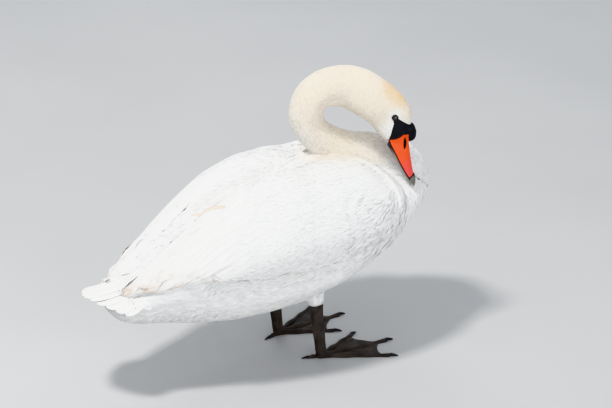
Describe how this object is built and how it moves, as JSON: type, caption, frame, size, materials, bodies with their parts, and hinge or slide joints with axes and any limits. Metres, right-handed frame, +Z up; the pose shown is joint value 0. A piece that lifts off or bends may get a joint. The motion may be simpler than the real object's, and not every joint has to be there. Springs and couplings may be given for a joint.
{
  "type": "mute swan model",
  "caption": "Life-size still model of a standing mute swan, neck folded back over the shoulders and orange bill with black knob hanging before the breast.",
  "frame": {"origin": "on the floor, under the middle of the model's box", "axes": "+X the way the trunk faces, +Y towards the swan's left, +Z up"},
  "size_m": [0.697, 0.3206, 0.547],
  "materials": {
    "body_plumage": "matte",
    "loose_plumage": "matte",
    "head_plumage": "matte",
    "orange_horn": "satin",
    "black_horn": "satin",
    "eye": "gloss",
    "leg_skin": "matte"
  },
  "bodies": {
    "root": {"trunk": "body_plumage", "rump": "loose_plumage", "wing_right": "loose_plumage", "wing_left": "loose_plumage", "tail": "loose_plumage", "neck_lower": "body_plumage", "neck_middle": "head_plumage", "neck_upper": "head_plumage", "head": "head_plumage", "bill_upper": "orange_horn", "bill_nail": "black_horn", "bill_lower": "black_horn", "bill_knob": "black_horn", "eye_right": "eye", "eye_left": "eye", "thigh_right": "body_plumage", "shank_right": "leg_skin", "foot_right": "leg_skin", "claw_right_inner": "black_horn", "claw_right_middle": "black_horn", "claw_right_outer": "black_horn", "claw_right_hind": "black_horn", "thigh_left": "body_plumage", "shank_left": "leg_skin", "foot_left": "leg_skin", "claw_left_inner": "black_horn", "claw_left_middle": "black_horn", "claw_left_outer": "black_horn", "claw_left_hind": "black_horn"}
  },
  "joints": []
}
